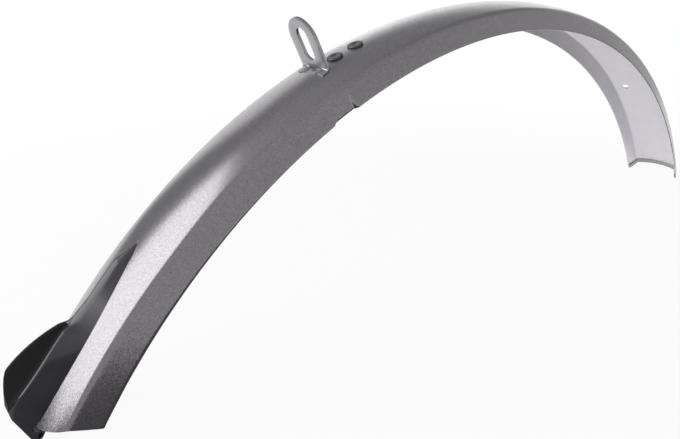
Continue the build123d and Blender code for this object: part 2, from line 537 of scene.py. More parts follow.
@dataclass(frozen=True)
class SilverLacquer:
    """Silver metallic car lacquer on formed sheet: aluminium flakes that sparkle under clear coat. Sizes in mm."""

    name: str = "silver_flake_lacquer"
    colour: str = "8c898e"
    spark: str = "a6a3a8"
    metal: float = 0.9
    roughness: float = 0.23
    uneven: float = 0.04
    flake: float = 0.35
    flake_lean: float = 0.045
    cloud: float = 18.0
    clear_coat: Spot = (0.3, 0.16)

    def material(self) -> Material:
        """Make the lacquer.

        Returns:
            The material.
        """
        coat = Coating(self.name)
        tree, (clear, clear_roughness) = coat.tree, self.clear_coat
        # Flakes are some hundredths of a mm; they are drawn coarser, so that they sparkle in the render
        cells = add_node(tree, "ShaderNodeTexVoronoi", {"Vector": coat.place, "Scale": 1 / (self.flake * MM)})
        flakes = cells.outputs["Color"]
        centred = vector(tree, "SUBTRACT", flakes, (0.5, 0.5, 0.5))
        leaned = vector(tree, "MULTIPLY", centred, 3 * (self.flake_lean,))
        upright = add_node(tree, "ShaderNodeNewGeometry").outputs["Normal"]
        bright = add_node(tree, "ShaderNodeSeparateColor", {0: flakes}).outputs[0]
        # Slow unevenness of the sprayed coat
        cloud = coat.noise(self.cloud, 3.0)
        return coat.finish(
            {
                "Base Color": coat.blend(bright, self.colour, self.spark),
                "Metallic": self.metal,
                "Roughness": coat.vary(cloud, self.roughness, self.uneven),
                "Normal": vector(tree, "NORMALIZE", vector(tree, "ADD", upright, leaned)),
                "Coat Weight": clear,
                "Coat Roughness": clear_roughness,
            }
        )


@dataclass(frozen=True)
class InnerLacquer:
    """Pale thin lacquer inside the channel, sprayed over primer: satin, with a faint orange peel. Sizes in mm."""

    name: str = "pale_inner_lacquer"
    colour: str = "ebe9ee"
    shade: str = "e0dee4"
    metal: float = 0.55
    roughness: float = 0.4
    cloud: float = 12.0
    peel: float = 1.6
    peel_bump: Spot = (0.08, 0.2)

    def material(self) -> Material:
        """Make the inner lacquer.

        Returns:
            The material.
        """
        coat = Coating(self.name)
        return coat.finish(
            {
                "Base Color": coat.blend(coat.noise(self.cloud, 4.0), self.colour, self.shade),
                "Metallic": self.metal,
                "Roughness": self.roughness,
                "Normal": coat.bump(coat.noise(self.peel, 1.0), *self.peel_bump),
            }
        )


@dataclass(frozen=True)
class RolledSteel:
    """Zinc-bright cold-rolled steel strip: fine rolling lines that stretch the reflections. Sizes in mm."""

    name: str
    colour: str
    dull: str
    roughness: float
    uneven: float = 0.07
    line: float = 0.5
    line_long: float = 24.0
    line_bump: Spot = (0.05, 0.1)
    stain: float = 5.0

    def material(self) -> Material:
        """Make the steel.

        Returns:
            The material.
        """
        coat = Coating(self.name)
        # Rolling lines are a few hundredths of a mm; they are drawn coarser to show at all
        drawn = {"Vector": coat.place, "Scale": (1.0, 1.0, 1 / self.line_long)}
        lines = coat.noise(self.line, 2.0, add_node(coat.tree, "ShaderNodeMapping", drawn).outputs[0])
        return coat.finish(
            {
                "Base Color": coat.blend(coat.noise(self.stain, 4.0), self.colour, self.dull),
                "Metallic": 1.0,
                "Roughness": coat.vary(lines, self.roughness, self.uneven),
                "Normal": coat.bump(lines, *self.line_bump),
            }
        )


@dataclass(frozen=True)
class MouldedPlastic:
    """Black injection-moulded polypropylene: soft satin gloss over a faint moulded grain. Sizes in mm."""

    name: str
    colour: str
    worn: str
    roughness: float
    gloss: float
    ior: float = 1.49
    uneven: float = 0.05
    cloud: float = 9.0
    grain: float = 0.7
    grain_bump: Spot = (0.1, 0.1)

    def material(self) -> Material:
        """Make the plastic.

        Returns:
            The material.
        """
        coat = Coating(self.name)
        cloud = coat.noise(self.cloud, 3.0)
        # The mould's grain is about 0.2 mm; it is drawn coarser to show in the render
        grain = coat.noise(self.grain, 2.0)
        return coat.finish(
            {
                "Base Color": coat.blend(cloud, self.colour, self.worn),
                "Roughness": coat.vary(cloud, self.roughness, self.uneven),
                "Normal": coat.bump(grain, *self.grain_bump),
                "IOR": self.ior,
                "Specular IOR Level": self.gloss,
            }
        )


def start_tree(name: str, sizes: Sequence[str], count: str) -> tuple[NodeTree, bpy_prop_collection]:
    """Start a Geometry Nodes tree that works on the arch.

    Args:
        name: Name of the tree.
        sizes: Names of its lengths and angles, besides the arch's own.
        count: Name of its whole number.

    Returns:
        The tree, and its inputs by name.
    """
    tree = bpy.data.node_groups.new(name, "GeometryNodeTree")
    kinds = {"Geometry": "Geometry", **dict.fromkeys(("Radius", "Axis X", "Axis Z", *sizes), "Float")}
    for label, kind in {**kinds, count: "Int", "Material": "Material"}.items():
        tree.interface.new_socket(label, in_out="INPUT", socket_type=f"NodeSocket{kind}")
    tree.interface.new_socket("Geometry", in_out="OUTPUT", socket_type="NodeSocketGeometry")
    return tree, add_node(tree, "NodeGroupInput").outputs


def on_wheel(tree: NodeTree, size: Mapping[str, Socket], angle: Socket, reach: Socket) -> dict[str, Socket]:
    """Find X and Z of a point round the wheel's axis.

    Args:
        tree: Tree that gets the nodes.
        size: Inputs of the tree.
        angle: Bearing from the vertical.
        reach: Distance from the axis.

    Returns:
        Both coordinates by name.
    """
    right = number(tree, "MULTIPLY_ADD", reach, number(tree, "SINE", angle), size["Axis X"])
    above = number(tree, "MULTIPLY_ADD", reach, number(tree, "COSINE", angle), size["Axis Z"])
    return {"X": right, "Z": above}


def end_tree(tree: NodeTree, shape: Socket, paint: Socket) -> NodeTree:
    """Make a tree's instances real, paint them and lead them out.

    Args:
        tree: Tree to end.
        shape: Its geometry.
        paint: Its material.

    Returns:
        The finished tree.
    """
    real = add_node(tree, "GeometryNodeRealizeInstances", {"Geometry": shape}).outputs[0]
    painted = add_node(tree, "GeometryNodeSetMaterial", {"Geometry": real, "Material": paint}).outputs[0]
    add_node(tree, "NodeGroupOutput", {"Geometry": painted})
    return tree


def sweep_tree() -> NodeTree:
    """Build the tree that sweeps a section along the arch, presses the relief in and rounds the end.

    Returns:
        The tree, whose named inputs hold the sizes in metres.
    """
    ends = ("Plain Angle", "Plain Arc", "Start", "Stop", "End Centre", "End Radius")
    relief = ("Relief Rear", "Relief Front", "Soft Ramp", "Crisp Ramp", "Relief Depth")
    tree, size = start_tree("crown_sweep", ends + relief, "Steps")
    line = add_node(tree, "GeometryNodeCurvePrimitiveLine", {"End": (0.0, 0.0, 1.0)}).outputs[0]
    rail = add_node(tree, "GeometryNodeResampleCurve", {"Curve": line, "Count": size["Steps"]}).outputs[0]
    share = add_node(tree, "GeometryNodeSplineParameter").outputs["Factor"]
    mark = {"Geometry": rail, "Name": "along", "Value": share}
    marked = add_node(tree, "GeometryNodeStoreNamedAttribute", mark, data_type="FLOAT").outputs[0]
    outline = add_node(tree, "GeometryNodeMeshToCurve", {"Mesh": size["Geometry"]}).outputs[0]
    swept = {"Curve": marked, "Profile Curve": outline, "Fill Caps": True}
    shell = add_node(tree, "GeometryNodeCurveToMesh", swept).outputs[0]
    along, side, height, pinch = (
        add_node(tree, "GeometryNodeInputNamedAttribute", {"Name": name}, data_type="FLOAT").outputs[0]
        for name in ("along", "across", "height", "pinch")
    )

    # The rounded end: each line along the blade starts on a circle seen from above
    disc = number(tree, "MULTIPLY", size["End Radius"], size["End Radius"])
    chord = number(tree, "SUBTRACT", disc, number(tree, "MULTIPLY", side, side))
    centre = number(tree, "ADD", size["Start"], size["End Centre"])
    start = number(tree, "SUBTRACT", centre, number(tree, "SQRT", chord))
    arc = mapped(tree, along, (0.0, 1.0), (start, size["Stop"]), Step.STRAIGHT)

    # The relief: a soft ramp in on one side, a crisp one out on the other
    rear, front = size["Relief Rear"], size["Relief Front"]
    rise = mapped(tree, arc, (rear, number(tree, "ADD", rear, size["Soft Ramp"])), (0.0, 1.0))
    fall = mapped(tree, arc, (number(tree, "SUBTRACT", front, size["Crisp Ramp"]), front), (1.0, 0.0))
    depth = number(tree, "MULTIPLY", number(tree, "MULTIPLY", rise, fall), size["Relief Depth"])
    across = number(tree, "SUBTRACT", side, number(tree, "MULTIPLY", depth, pinch))

    # Bend the straight sweep round the wheel's axis
    ahead = number(tree, "SUBTRACT", arc, size["Plain Arc"])
    angle = number(tree, "ADD", number(tree, "DIVIDE", ahead, size["Radius"]), size["Plain Angle"])
    spot = on_wheel(tree, size, angle, number(tree, "ADD", size["Radius"], height))
    place = add_node(tree, "ShaderNodeCombineXYZ", {**spot, "Y": across}).outputs[0]
    bent = add_node(tree, "GeometryNodeSetPosition", {"Geometry": shell, "Position": place}).outputs[0]
    return end_tree(tree, bent, size["Material"])


@dataclass
class BladeShell:
    """The bent sheet: channel, rounded end, hem, relief, slit and holes. Sizes in mm."""

    arch: Arch
    channel: Channel
    flap_arc: float = 186.3
    end_radius: float = 33.0
    end_bulge: float = 13.6
    straight_radius: float = 10000.0
    hem_width: float = 4.5
    relief_rear: float = -20.1
    relief_front: float = -2.5
    relief_ramps: Spot = (4.6, 1.9)
    relief_depth: float = 2.3
    slit: Place = (-4.15, 0.81, 4.5)
    rivet_arcs: Spot = (11.8, 25.7)
    rivet_hole: float = 2.1
    stay: Place = (376.0, 11.9, 3.0)
    cut_depth: float = 8.0
    cut_steps: int = 48
    skin: float = 0.02
    steps: int = 760
    hem_steps: int = 9
    crown_share: float = 0.6
    inner_below: float = -0.3
    sharp_deg: float = 40.0
    tree: NodeTree = field(default_factory=sweep_tree)

    def sweep(self, name: str, insets: Spot, steps: int, start: float, end: Spot, paint: Material) -> Mesh:
        """Sweep a sheet along the arch to the plain end.

        Args:
            name: Name of the mesh.
            insets: Insets of its two faces.
            steps: Sections along the sweep.
            start: Station where its middle line starts.
            end: Distance from there to the centre of its round start, and the radius.
            paint: Material of the shell.

        Returns:
            The swept shell.
        """
        loop = self.channel.loop(*insets)
        section = bpy.data.meshes.new(name)
        corners = [(across * MM, height * MM, 0.0) for across, height in loop]
        section.from_pydata(corners, [(k, (k + 1) % len(loop)) for k in range(len(loop))], [])
        marks = {
            "across": [across * MM for across, _ in loop],
            "height": [height * MM for _, height in loop],
            "pinch": [self.channel.pinch(height) * (1 if across > 0 else -1) for across, height in loop],
        }
        for label, values in marks.items():
            section.attributes.new(label, "FLOAT", "POINT").data.foreach_set("value", values)
        lengths = {
            "Plain Arc": self.arch.plain_arc,
            "Start": start,
            "Stop": self.arch.plain_arc - 2 * self.skin,
            "End Centre": end[0],
            "End Radius": end[1],
            "Relief Rear": self.relief_rear,
            "Relief Front": self.relief_front,
            "Soft Ramp": self.relief_ramps[0],
            "Crisp Ramp": self.relief_ramps[1],
            "Relief Depth": self.relief_depth,
        }
        inputs = {label: length * MM for label, length in lengths.items()}
        inputs |= {**self.arch.inputs(), "Plain Angle": self.arch.plain_angle, "Steps": steps, "Material": paint}
        mesh = grown(name, new_object(name, section), self.tree, inputs)
        outward(mesh)
        return mesh

    def cutters(self) -> list[Object]:
        """Make the tools that cut the slit and the holes through the crown.

        Returns:
            Closed cutter objects.
        """
        tools, deep = [], self.cut_depth * MM
        for arc, across, radius in [(arc, 0.0, self.rivet_hole) for arc in self.rivet_arcs] + [self.stay]:
            work, wide = bmesh.new(), radius * MM
            place = self.arch.plane(arc, across, self.channel.crown(across), self.channel.tilt(across))
            sizes = {"segments": self.cut_steps, "radius1": wide, "radius2": wide, "depth": deep}
            bmesh.ops.create_cone(work, cap_ends=True, matrix=place, **sizes)
            tools.append(new_object("hole", poured("hole", work)))
        work, (rear, front, half) = bmesh.new(), self.slit
        size = Matrix.Diagonal(((front - rear) * MM, 2 * half * MM, deep, 1.0))
        bmesh.ops.create_cube(work, size=1.0, matrix=self.arch.plane((rear + front) / 2, 0.0, 0.0) @ size)
        return tools + [new_object("slit", poured("slit", work))]

    def paint_inside(self, mesh: Mesh, inner: Material) -> None:
        """Give the faces that look at the wheel the inner lacquer.

        Args:
            mesh: The blade, with the outer lacquer.
            inner: Lacquer of the inside.
        """
        mesh.materials.append(inner)
        axis = MM * Vector((self.arch.axis_x, 0.0, self.arch.axis_z))
        for face in mesh.polygons:
            out = face.center - axis
            side, out.y = (1 if out.y > 0 else -1), 0.0
            away = side * face.normal.y + self.crown_share * face.normal.dot(out.normalized())
            face.material_index = (Skin.INNER if away < self.inner_below else Skin.OUTER).value

    def build(self, outer: Material, inner: Material) -> Object:
        """Make the blade.

        Args:
            outer: Lacquer of the outside.
            inner: Lacquer of the inside.

        Returns:
            The finished blade.
        """
        sheet, round_end = self.channel.sheet, (self.end_radius - self.end_bulge, self.end_radius)
        shell = self.sweep("blade_shell", (self.skin, sheet), self.steps, -self.flap_arc, round_end, outer)
        work, tools = new_object("blade_work", shell), self.cutters()
        for tool in tools:
            cut = work.modifiers.new(tool.name, "BOOLEAN")
            cut.operation, cut.object, cut.solver = "DIFFERENCE", tool, "EXACT"
        cut_shell = baked("blade_cut", work)
        for tool in tools:
            bpy.data.objects.remove(tool)
        self.paint_inside(cut_shell, inner)
        # The hem is the sheet folded inwards, so it shows the outer lacquer
        start, straight = self.arch.plain_arc - self.hem_width, 2 * (self.straight_radius,)
        hem = self.sweep("blade_hem", (sheet, 2 * sheet), self.hem_steps, start, straight, outer)
        whole = joined("blade", [cut_shell, hem], self.sharp_deg)
        return dress("blade", whole, "blade_paint", "mudguard_blade")


@dataclass
class ForkBracket:
    """Bent strip: slotted tab, two ears on the crown, and a neck to a strip under it. Sizes in mm."""

    arch: Arch
    channel: Channel
    plate: float = 1.5
    width: float = 20.0
    height: float = 25.4
    slot_width: float = 7.4
    slot_length: float = 16.0
    slot_height: float = 12.8
    ear_length: float = 4.7
    neck_half: float = 4.0
    neck_play: float = 0.5
    strip_half: float = 4.6
    strip_length: float = 37.25
    strip_inset: float = 1.2336
    strip_corner: float = 2.5
    seat_gap: float = 0.06
    bend: float = 1.5
    edge: float = 0.22
    edge_steps: int = 2
    edge_over_deg: float = 50.0
    tab_steps: int = 24
    slot_steps: int = 14
    bend_steps: int = 6
    strip_steps: int = 16
    corner_steps: int = 5
    sharp_deg: float = 40.0

    def rounds(self, middle: float, radius: float, start: float, steps: int) -> list[Spot]:
        """Half circle of (across, height) points on the middle line, anticlockwise from an angle."""
        turns = [start + pi * k / steps for k in range(steps + 1)]
        return [(radius * cos(turn), middle + radius * sin(turn)) for turn in turns]

    def foot(self) -> list[float]:
        """Distances across of the tab's lower corners: an ear, the neck and the other ear."""
        right = [self.width / 2, self.neck_half + self.neck_play, self.neck_half]
        return right + [-across for across in right[::-1]]

    def tab(self, work: BMesh) -> list[BMVert]:
        """Make the slotted tab as a flat sheet.

        Args:
            work: Mesh under construction.

        Returns:
            The tab's lower corners.
        """
        low, half = self.seat_gap + self.plate / 2 + self.bend, self.width / 2
        base = [work.verts.new(self.arch.point(0, across, low)) for across in self.foot()]
        top = self.rounds(self.height - half, half, 0.0, self.tab_steps)
        reach, radius = (self.slot_length - self.slot_width) / 2, self.slot_width / 2
        slot = self.rounds(self.slot_height + reach, radius, 0.0, self.slot_steps)
        slot += self.rounds(self.slot_height - reach, radius, pi, self.slot_steps)
        ring = base[::-1] + [work.verts.new(self.arch.point(0, *spot)) for spot in top]
        hole = [work.verts.new(self.arch.point(0, *spot)) for spot in slot]
        edges = [work.edges.new((loop[k - 1], loop[k])) for loop in (ring, hole) for k in range(len(loop))]
        bmesh.ops.triangle_fill(work, use_beauty=True, use_dissolve=False, edges=edges)
        return base

    def neck(self, turns: Sequence[float]) -> list[Place]:
        """Trace the neck down through the slit and the strip along the crown's underside.

        Args:
            turns: Angles of the bend.

        Returns:
            Stations, heights and half widths.
        """
        under, narrow, wide = -(self.strip_inset + self.plate / 2), self.neck_half, self.strip_half
        rows = [(0.0, under + self.bend, narrow)]
        for turn in turns:
            height = under + self.bend * (1 - sin(turn))
            rows.append((self.bend * (1 - cos(turn)), height, narrow + (wide - narrow) * sin(turn)))
        span = self.strip_length - self.strip_corner - self.bend
        rows += [(self.bend + span * (k + 1) / self.strip_steps, under, wide) for k in range(self.strip_steps)]
        for k in range(1, self.corner_steps + 1):
            turn = pi / 2 * k / self.corner_steps
            arc = self.strip_length - self.strip_corner * (1 - sin(turn))
            rows.append((arc, under, wide - self.strip_corner * (1 - cos(turn))))
        return rows

    def ribbon(self, work: BMesh, row: Sequence[BMVert], pairs: Sequence[Sequence[Place]]) -> None:
        """Carry a strip of faces on from two points.

        Args:
            work: Mesh under construction.
            row: The two points.
            pairs: Station, distance across and height of each further two points.
        """
        for pair in pairs:
            fresh = [work.verts.new(self.arch.point(*spot)) for spot in pair]
            work.faces.new((row[0], row[1], fresh[1], fresh[0]))
            row = fresh

    def build(self, steel: Material) -> Object:
        """Make the bracket from the middle surface of its plate.

        Args:
            steel: Material of the bracket.

        Returns:
            The finished bracket.
        """
        work, foot = bmesh.new(), self.foot()
        base, seat = self.tab(work), self.seat_gap + self.plate / 2
        turns = [pi / 2 * (k + 1) / self.bend_steps for k in range(self.bend_steps)]
        ear = [(-self.bend * (1 - cos(turn)), seat + self.bend * (1 - sin(turn)), sin(turn)) for turn in turns]
        ear += [(-self.ear_length, seat, 1.0)]
        for corners in ((0, 1), (4, 5)):
            pairs = [
                [(arc, foot[at], height + follow * self.channel.crown(foot[at])) for at in corners]
                for arc, height, follow in ear
            ]
            self.ribbon(work, [base[at] for at in corners], pairs)
        pairs = [[(arc, wide, height), (arc, -wide, height)] for arc, height, wide in self.neck(turns)]
        self.ribbon(work, base[2:4], pairs)
        bmesh.ops.recalc_face_normals(work, faces=work.faces)
        source = new_object("bracket_sheet", poured("bracket_sheet", work))
        wall = source.modifiers.new("plate", "SOLIDIFY")
        wall.thickness, wall.offset, wall.use_even_offset = self.plate * MM, 0.0, True
        bevelled(source, self.edge, self.edge_steps, self.edge_over_deg)
        mesh = baked("fork_tab", source)
        mesh.materials.append(steel)
        outward(mesh)
        creased(mesh, self.sharp_deg)
        piece = dress("fork_tab", mesh, "bracket_steel", "fork_bracket")
        # The flakes of the lacquer scatter too widely to mirror the tab
        piece.visible_glossy = False
        return piece


@dataclass
class RivetPair:
    """Two equal rivets with dimpled heads, set by nodes along the crown. Sizes in mm."""

    arch: Arch
    first_arc: float = 11.8
    spacing: float = 13.9
    count: int = 2
    head_radius: float = 4.2
    head_height: float = 0.9
    dimple_radius: float = 1.9
    dimple_depth: float = 0.4
    dimple_line: tuple[Spot, ...] = ((0.0, 1.0), (0.6, 0.9), (0.9, 0.35), (1.08, 0.075), (1.2, 0.0))
    shank: float = 2.0
    tail_radius: float = 3.1
    tail_height: float = 1.2
    tail_seat: float = 2.7936
    tail_edge: float = 0.2
    seat_gap: float = 0.06
    round_edge: float = 0.5
    round_steps: int = 6
    segments: int = 40
    sharp_deg: float = 35.0

    def outline(self) -> list[Spot]:
        """Trace half a rivet from the dimple's floor to the tail.

        Returns:
            Radii and heights.
        """
        top, edge, trim = self.seat_gap + self.head_height, self.round_edge, self.tail_edge
        points = [(wide * self.dimple_radius, top - deep * self.dimple_depth) for wide, deep in self.dimple_line]
        for k in range(self.round_steps + 1):
            turn = pi / 2 * k / self.round_steps
            points.append((self.head_radius - edge + edge * sin(turn), top - edge + edge * cos(turn)))
        points += [(self.head_radius, self.seat_gap), (self.shank, self.seat_gap), (self.shank, -self.tail_seat)]
        low = -self.tail_seat - self.tail_height
        points += [(self.tail_radius, -self.tail_seat), (self.tail_radius, low + trim)]
        return points + [(self.tail_radius - trim, low), (0.0, low)]

    def pattern(self) -> Object:
        """Turn the outline round the rivet's axis.

        Returns:
            One closed rivet at the origin, along Z.
        """
        work, steps = bmesh.new(), self.segments
        turns = [2 * pi * k / steps for k in range(steps)]
        rings = []
        for radius, height in self.outline():
            round_at = turns if radius else turns[:1]
            spots = [MM * Vector((radius * cos(turn), radius * sin(turn), height)) for turn in round_at]
            rings.append([work.verts.new(spot) for spot in spots])
        for upper, lower in zip(rings, rings[1:]):
            for k in range(steps):
                corners = [upper[k % len(upper)], lower[k % len(lower)]]
                corners += [lower[(k + 1) % len(lower)], upper[(k + 1) % len(upper)]]
                work.faces.new(list(dict.fromkeys(corners)))
        mesh = poured("rivet_pattern", work)
        outward(mesh)
        creased(mesh, self.sharp_deg)
        return new_object("rivet_pattern", mesh)

    def row_tree(self) -> NodeTree:
        """Build the tree that sets copies of a rivet along the crown, square to it.

        Returns:
            The tree with its named inputs.
        """
        tree, size = start_tree("rivet_row", ("First Angle", "Step Angle"), "Count")
        order = add_node(tree, "GeometryNodeInputIndex").outputs[0]
        angle = number(tree, "MULTIPLY_ADD", order, size["Step Angle"], size["First Angle"])
        spot = on_wheel(tree, size, angle, size["Radius"])
        place = add_node(tree, "ShaderNodeCombineXYZ", spot).outputs[0]
        turn = add_node(tree, "ShaderNodeCombineXYZ", {"Y": angle}).outputs[0]
        spots = add_node(tree, "GeometryNodePoints", {"Count": size["Count"], "Position": place}).outputs[0]
        set_on = {"Points": spots, "Instance": size["Geometry"], "Rotation": turn}
        copies = add_node(tree, "GeometryNodeInstanceOnPoints", set_on).outputs[0]
        return end_tree(tree, copies, size["Material"])

    def build(self, steel: Material) -> Object:
        """Make both rivets.

        Args:
            steel: Material of the rivets.

        Returns:
            The finished pair.
        """
        inputs = {
            **self.arch.inputs(),
            "First Angle": self.arch.angle(self.first_arc),
            "Step Angle": self.spacing / self.arch.radius,
            "Count": self.count,
            "Material": steel,
        }
        mesh = grown("rivet_pair", self.pattern(), self.row_tree(), inputs)
        return dress("rivet_pair", mesh, "rivet_steel", "bracket_rivets")


@dataclass
class MudFlap:
    """Moulded flap: a ridge that splits into a scoop's rims, and a clip round the blade's end. Sizes in mm."""

    arch: Arch
    channel: Channel
    blade_end: float = -199.9
    blade_reach: float = 4.8
    length: float = 78.6
    gap: float = 0.12
    wall: float = 1.8
    nose: Place = (1.0, 0.6, 10.0)
    nose_round: float = 1.4
    keel_half: float = 9.2
    keel_run: float = 47.16
    ridge_half: float = 3.0
    ridge_height: float = 3.8
    ridge_drop: float = 1.1
    climb_run: float = 28.3
    floor_height: float = 9.8
    split_run: float = 40.1
    split_soft: float = 3.0
    split_height: float = 5.7
    rim_half: float = 12.4
    rim_height: float = 13.1
    rim_run: float = 68.0
    rim_bow: float = 0.75
    rim_wall: float = 2.0
    lip_play: float = 0.2
    wall_bows: Spot = (1.1, 1.5)
    lip_bows: Spot = (0.7, 2.2)
    dish_dip: float = 1.5
    least: float = 0.05
    corner_cuts: tuple[float, ...] = (1.0, 0.95, 2.6, 0.95, 1.0)
    pieces: int = 6
    clip_half: float = 6.5
    brow: Spot = (1.4, 9.8)
    clip_root: float = 6.6
    pocket: Spot = (1.6, 1.5)
    toe: Spot = (6.9, 6.0)
    tongue: Spot = (2.6, 13.3)
    tongue_steps: tuple[int, int] = (12, 8)
    edge: float = 0.4
    edge_steps: int = 3
    edge_over_deg: float = 35.0
    rings: int = 110
    ring_bias: float = 1.15
    sharp_deg: float = 48.0

    @property
    def tail(self) -> float:
        """Run from the flap's tip to the end of its tail."""
        return self.length + self.brow[0]

    def station(self, run: float) -> float:
        """Station of a run from the flap's tip."""
        return self.blade_end + self.blade_reach + self.length - run

    def keel(self, run: float) -> float:
        """Find the half width of the flap where it sits on the crown.

        Args:
            run: Distance from the flap's tip.

        Returns:
            The half width.
        """
        wide, turn = self.keel_half, self.keel_run
        if run > turn:
            return wide - (wide - self.clip_half) * ((run - turn) / (self.tail - turn)) ** 2
        blunt = max(0.0, 1 - run / self.nose_round)
        return (wide - (wide - self.nose[0]) * (1 - run / turn) ** 2) * max(self.least, sqrt(1 - blunt**2))

    def floor(self, run: float) -> float:
        """Find the height of the ridge, and further back of the scoop's floor.

        Args:
            run: Distance from the flap's tip.

        Returns:
            The height over the crown's middle.
        """
        _, low, ramp = self.nose
        climb = min(1.0, max(0.0, run - self.climb_run) / (self.length - self.climb_run))
        height = self.ridge_height + (self.floor_height - self.ridge_height) * climb
        hollow = min(1.0, max(0.0, run - self.split_run) / (self.length - self.split_run))
        return height - (self.ridge_height - low) * max(0.0, 1 - run / ramp) - self.dish_dip * sin(pi * hollow)

    def tail_rims(self, run: float) -> tuple[Spot, Spot]:
        """Find a side wall's top edges where it turns in to the clip, and its lip ends in the middle.

        Args:
            run: Distance from the flap's tip, past the widest place.

        Returns:
            Outer and inner edge, as distances across and heights.
        """
        past = (run - self.rim_run) / (self.tail - self.rim_run)
        back = min(1.0, (run - self.rim_run) / (self.length - self.rim_run))
        wide = self.rim_half - (self.rim_half - self.clip_half) * past ** self.wall_bows[0]
        high = self.rim_height - (self.rim_height - self.brow[1]) * past ** self.wall_bows[1]
        lip = min((self.rim_half - self.lip_play) * (1 - back) ** self.lip_bows[0], wide - self.rim_wall * (1 - past))
        lift = (self.rim_height - self.floor_height) * (1 - back ** self.lip_bows[1])
        return (wide, high), (max(self.least, lip), self.floor_height + lift)

    def rims(self, run: float) -> tuple[Spot, Spot]:
        """Find a side wall's top edges, which lie together on the ridge before it splits.

        Args:
            run: Distance from the flap's tip.

        Returns:
            Outer and inner edge, as distances across and heights.
        """
        if run > self.rim_run:
            return self.tail_rims(run)
        middle, half = self.floor(run), self.ridge_half
        opening = max(0.0, (run - self.split_run) / (self.rim_run - self.split_run))
        begun = min(1.0, max(0.0, (run - self.split_run + self.split_soft) / (2 * self.split_soft)))
        begun = begun**2 * (3 - 2 * begun)
        wide = half + (self.rim_half - half) * sin(opening * pi / 2)
        high = self.split_height + (self.rim_height - self.split_height) * opening**self.rim_bow
        inner = half / 2 * (1 - begun) + max(wide - self.rim_wall, half / 2) * begun
        top = (middle - self.ridge_drop) * (1 - begun) + high * begun
        shelf = (middle - self.ridge_drop / 4) * (1 - begun) + high * begun
        if run < self.climb_run:
            wide = min(wide, 0.9 * self.keel(run))
            inner = min(inner, wide / 2)
        return (wide, top), (inner, shelf)

    def section(self, run: float) -> list[Spot]:
        """Trace the upper line of a section from one foot to the other.

        Args:
            run: Distance from the flap's tip.

        Returns:
            Distances across and heights.
        """
        keel = self.keel(run)
        foot = self.channel.crown(keel) + self.gap
        (wide, top), (inner, shelf) = self.rims(run)
        half = [(keel, foot), (wide, max(top, foot + self.least)), (inner, max(shelf, foot + 2 * self.least))]
        line = half + [(0.0, self.floor(run))] + [(-across, height) for across, height in half[::-1]]
        return softened(line, self.corner_cuts, self.pieces)

    def body(self) -> Mesh:
        """Make the ridge and the scoop as one closed shell, with the dish in a darker plastic as painted shade in the
        hollow.

        Returns:
            The shell.
        """
        work, rings = bmesh.new(), []
        runs = [self.tail * (step / self.rings) ** self.ring_bias for step in range(self.rings + 1)]
        for run in runs:
            upper = self.section(run)
            marks = [self.keel(run) * (1 - 2 * k / (len(upper) - 1)) for k in range(len(upper))]
            lower = [(across, self.channel.crown(across) + self.gap) for across in marks[-2:0:-1]]
            rings.append([work.verts.new(self.arch.point(self.station(run), *spot)) for spot in upper + lower])
        count = len(upper)
        # Faces inside the scoop get the darker plastic: painted shade in the hollow
        dish = range(3 * self.pieces, count - 3 * self.pieces)
        for run, faces in zip(runs, bridged(work, rings)):
            for k, face in enumerate(faces):
                inside = k in dish and run > self.split_run
                face.material_index = (Flap.SHADED_DISH if inside else Flap.OUTSIDE).value
        for ring in (rings[0], rings[-1]):
            lower = [ring[0]] + ring[: count - 1 : -1] + [ring[count - 1]]
            for k in range(count - 1):
                work.faces.new(list(dict.fromkeys((ring[k], ring[k + 1], lower[k + 1], lower[k]))))
        mesh = poured("flap_body", work)
        outward(mesh)
        return mesh

    def clip(self) -> Mesh:
        """Make the clip that falls from the tail round the blade's end, with its tongue under the crown.

        Returns:
            The clip and the tongue, as closed shells.
        """
        end, seat, (thick, long) = self.blade_end, self.channel.sheet + self.gap, self.tongue
        root, toe = self.station(self.length - self.clip_root), -(seat + thick)
        play, pocket = self.pocket
        toe_arc, toe_wall = self.toe
        outline = [
            (root, self.floor_height - self.wall),
            (self.station(self.tail), self.brow[1]),
            (end - toe_arc, toe + self.wall / 2),
            (end - toe_arc, toe),
            (end - toe_arc + toe_wall, toe),
            (end - play, pocket / 2),
            (end, pocket),
            (end + play, 2 * self.gap),
            (root, 2 * self.gap),
        ]
        work = bmesh.new()
        sides = [
            [work.verts.new(self.arch.point(arc, across, height)) for arc, height in outline]
            for across in (-self.clip_half, self.clip_half)
        ]
        bridged(work, sides)
        for side in sides:
            work.faces.new(side)
        steps, rows = self.tongue_steps
        marks = [self.clip_half * (2 * k / steps - 1) for k in range(steps + 1)]
        places = [(across, seat) for across in marks] + [(across, seat + thick) for across in marks[::-1]]
        around = [(across, self.channel.crown(across, inset)) for across, inset in places]
        start = end - toe_arc + toe_wall / 2
        arcs = [start + (end + long - start) * row / rows for row in range(rows + 1)]
        rings = [[work.verts.new(self.arch.point(arc, *spot)) for spot in around] for arc in arcs]
        bridged(work, rings)
        for ring in (rings[0], rings[-1]):
            for k in range(steps):
                work.faces.new((ring[k], ring[k + 1], ring[-k - 2], ring[-k - 1]))
        bmesh.ops.recalc_face_normals(work, faces=work.faces)
        source = new_object("flap_clip", poured("flap_clip", work))
        bevelled(source, self.edge, self.edge_steps, self.edge_over_deg)
        mesh = baked("flap_clip", source)
        outward(mesh)
        return mesh

    def build(self, outside: Material, dish: Material) -> Object:
        """Make the flap.

        Args:
            outside: Plastic of the walls and the clip.
            dish: Plastic inside the scoop, darker than the walls as painted shade in the hollow.

        Returns:
            The finished flap.
        """
        whole = joined("spoiler", [self.body(), self.clip()], self.sharp_deg)
        whole.materials.append(outside)
        whole.materials.append(dish)
        piece = dress("spoiler", whole, "flap_plastic", "mud_flap")
        # The flakes of the lacquer scatter too widely to mirror the flap
        piece.visible_glossy = False
        return piece


